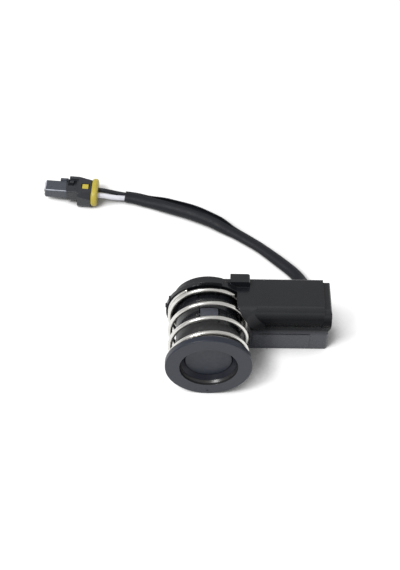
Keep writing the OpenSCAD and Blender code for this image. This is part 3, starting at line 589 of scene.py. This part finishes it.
def wire_route(side, end_points):
    """Route of one wire: from just inside the gland, through the sleeve, to the bottom of the plug."""
    sleeve = [Vector(p) for p in SLEEVE_ROUTE]
    inner = [p - side * WIRE_SPREAD * across(d) for p, d in zip(sleeve, directions(sleeve))]
    inner[0] = sleeve[0] + Vector((side * STUB_GAP, 0, 0))
    stub = [inner[0] - Vector((0, STUB_BACK, 0)), inner[0] - Vector((0, STUB_BACK / 2, 0))]
    tail = [plug_point(0, side * WIRE_PITCH / 2), plug_point(-WIRE_DEPTH, side * WIRE_PITCH / 2)]
    return smooth_route(in_metres([*stub, *inner, *end_points, *tail]), WIRE_STEP)


def make_wire(name, node, side, end_points, diameter, material):
    """Whole round wire, on one side of the lead."""
    route = wire_route(side, end_points)
    angles = [2 * math.pi * k / WIRE_SIDES for k in range(WIRE_SIDES)]
    rings = []
    for p, d in zip(route, directions(route)):
        sideways = across(d)
        up = d.cross(sideways)
        rings.append([p + diameter / 2 * (sideways * math.cos(a) + up * math.sin(a)) for a in angles])
    piece = add_piece(name, *loft(rings), material, node)
    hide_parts(node)


def spring_y(turn):
    """Place of the wire's middle along the barrel: closed turns lie wire on wire at both ends."""
    working = min(max(turn - SPRING_CLOSED_TURNS, 0), SPRING_ACTIVE_TURNS)
    return SPRING_WIRE / 2 - SPRING_GRIND + SPRING_WIRE * (turn - working) + SPRING_PITCH * working


def make_spring(material):
    """Compression spring with closed and ground ends, which notes the place along and around its wire."""
    turns = SPRING_ACTIVE_TURNS + 2 * SPRING_CLOSED_TURNS
    length_y = spring_y(turns) + SPRING_WIRE / 2 - SPRING_GRIND
    steps = round(turns * SPRING_STEPS_PER_TURN)
    rings = []
    for i in range(steps + 1):
        turn = turns * i / steps
        angle = SPRING_FRONT_TIP - 2 * math.pi * turn
        ring = []
        for k in range(SPRING_SIDES):
            a = 2 * math.pi * k / SPRING_SIDES
            r = SPRING_RADIUS + SPRING_WIRE / 2 * math.cos(a)
            y = spring_y(turn) + SPRING_WIRE / 2 * math.sin(a)
            y = min(max(y, SPRING_END_GAP), length_y - SPRING_END_GAP)
            ring.append(Vector((r * math.cos(angle), y, r * math.sin(angle))))
        rings.append(ring)
    piece = add_piece("spring_wire", *loft(rings), material, "spring_steel")
    along = piece.data.attributes.new("along", "FLOAT", "POINT")
    around = piece.data.attributes.new("around", "FLOAT", "POINT")
    step = 2 * math.pi * SPRING_RADIUS / SPRING_STEPS_PER_TURN
    side = math.pi * SPRING_WIRE / SPRING_SIDES
    along.data.foreach_set("value", [i * step for i in range(steps + 1) for _ in range(SPRING_SIDES)])
    around.data.foreach_set("value", [k * side for _ in range(steps + 1) for k in range(SPRING_SIDES)])
    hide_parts("retaining_spring")


def place_camera():
    """Camera at the photograph's angle and distance."""
    forward = Vector((math.sin(CAMERA_HEADING) * math.cos(CAMERA_ELEVATION),
                      math.cos(CAMERA_HEADING) * math.cos(CAMERA_ELEVATION), -math.sin(CAMERA_ELEVATION)))
    level = Vector((math.cos(CAMERA_HEADING), -math.sin(CAMERA_HEADING), 0))
    upright = level.cross(forward)
    right = level * math.cos(CAMERA_ROLL) + upright * math.sin(CAMERA_ROLL)
    top = upright * math.cos(CAMERA_ROLL) - level * math.sin(CAMERA_ROLL)
    data = bpy.data.cameras.new("camera")
    data.sensor_width = SENSOR_MM
    data.lens = FOCAL_PIXELS * SENSOR_MM / IMAGE_HEIGHT
    data.clip_start = CAMERA_CLIP
    camera = bpy.data.objects.new("camera", data)
    turn = Matrix((right, top, -forward)).transposed()
    camera.matrix_world = Matrix.Translation(AIM - forward * CAMERA_DISTANCE) @ turn.to_4x4()
    bpy.context.scene.collection.objects.link(camera)
    bpy.context.scene.camera = camera


def add_floor():
    """Floor just under the part."""
    half = FLOOR_SIZE / 2
    z = REST_Z - FLOOR_GAP
    corners = [(-half, -half, z), (half, -half, z), (half, half, z), (-half, half, z)]
    mesh = bpy.data.meshes.new("floor")
    mesh.from_pydata(corners, [], [(0, 1, 2, 3)])
    mesh.materials.append(floor_finish())
    floor = bpy.data.objects.new("floor", mesh)
    bpy.context.scene.collection.objects.link(floor)


def light_room():
    """World round the floor: backdrop, ceiling and overhead panel."""
    world = bpy.data.worlds.new("studio")
    world.use_nodes = True
    bpy.context.scene.world = world
    w = NodeTree(world.node_tree)
    background = w.tree.nodes["Background"]
    background.inputs["Color"].default_value = WHITE
    height = w.part(w.add("ShaderNodeTexCoord").outputs["Generated"], "Z")
    walls = w.span(height, 1.0, CEILING_LIGHT, BACKDROP_TOP, CEILING_START)
    panel = w.span(height, 0.0, 1.0, PANEL_START, PANEL_FULL)
    w.join(w.math("MAXIMUM", walls, panel), background.inputs["Strength"])


def add_lamp():
    """Key lamp, turned towards the part."""
    data = bpy.data.lights.new("key_lamp", "AREA")
    data.size = LAMP_SIZE
    data.energy = LAMP_POWER
    lamp = bpy.data.objects.new("key_lamp", data)
    lamp.location = LAMP_PLACE
    lamp.rotation_euler = (-LAMP_PLACE).to_track_quat("-Z", "Y").to_euler()
    bpy.context.scene.collection.objects.link(lamp)


place_camera()
add_floor()
light_room()
add_lamp()
bpy.context.scene.view_settings.view_transform = "Standard"

# Sensor: ring, housing and transducer
housing = housing_finish()
copper = metal("copper", (0.72, 0.4, 0.2), 0.3)
silicone = moulded("seal_silicone", (0.4, 0.1, 0.08), 0.5)
paint("bezel_ring", ring_finish())
paint("sensor_housing", housing)
paint("rear_cover", housing)
paint("transducer_cup", cup_finish())
paint("piezo_disc", moulded("piezo_ceramic", (0.7, 0.62, 0.42), 0.35, depth=0.002 * MM))
paint("decoupling_ring", moulded("soft_rubber", (0.003, 0.004, 0.011), 0.4, depth=0.004 * MM, specular=0.3))
paint("damping_pad", moulded("damping_foam", (0.25, 0.23, 0.2), 0.9, grain=0.4 * MM, depth=0.1 * MM))
paint("back_seal", silicone)
paint("transducer_leads", copper)

# Electronics in the box
chip_resin = moulded("chip_resin", (0.02, 0.02, 0.02), 0.45)
paint("potting_layer", moulded("potting_resin", (0.015, 0.015, 0.018), 0.2, depth=0.003 * MM))
paint("circuit_board", moulded("board_laminate", (0.03, 0.16, 0.07), 0.3, depth=0.003 * MM))
paint("driver_chip", chip_resin)
paint("transformer_core", moulded("ferrite", (0.1, 0.09, 0.09), 0.6))
paint("transformer_winding", copper)
paint("storage_capacitor", metal("can_aluminium", (0.7, 0.7, 0.72), 0.3))
paint("chip_capacitors", moulded("capacitor_body", (0.5, 0.36, 0.2), 0.5))
paint("chip_resistors", chip_resin)
paint("solder_joints", metal("solder", (0.6, 0.6, 0.62), 0.3))

# Gland and plug
yellow = moulded("plug_yellow", (0.5, 0.405, 0.052), 0.4, depth=0.004 * MM, edge=0.12 * MM)
paint("cable_grommet", moulded("gland_rubber", BLACK, 0.55))
paint("connector_body", plug_finish())
paint("connector_retainer", yellow)
paint("wire_seals", silicone)
paint("connector_terminals", metal("terminal_tin", (0.7, 0.66, 0.5), 0.3))

# Spring and lead
sleeve_vinyl = moulded("sleeve_vinyl", (0.012, 0.013, 0.017), 0.55, grain=0.2 * MM, depth=0.006 * MM,
                       specular=0.22)
black_vinyl = moulded("wire_black", (0.012, 0.013, 0.018), 0.25, depth=0.002 * MM)
white_vinyl = moulded("wire_white", (0.75, 0.75, 0.82), 0.35, depth=0.002 * MM)
make_spring(spring_finish())
make_sleeve(sleeve_vinyl)
make_wire("black_wire", "wire_black", 1, BLACK_END, BLACK_WIRE_D, black_vinyl)
make_wire("white_wire", "wire_white", -1, WHITE_END, WHITE_WIRE_D, white_vinyl)
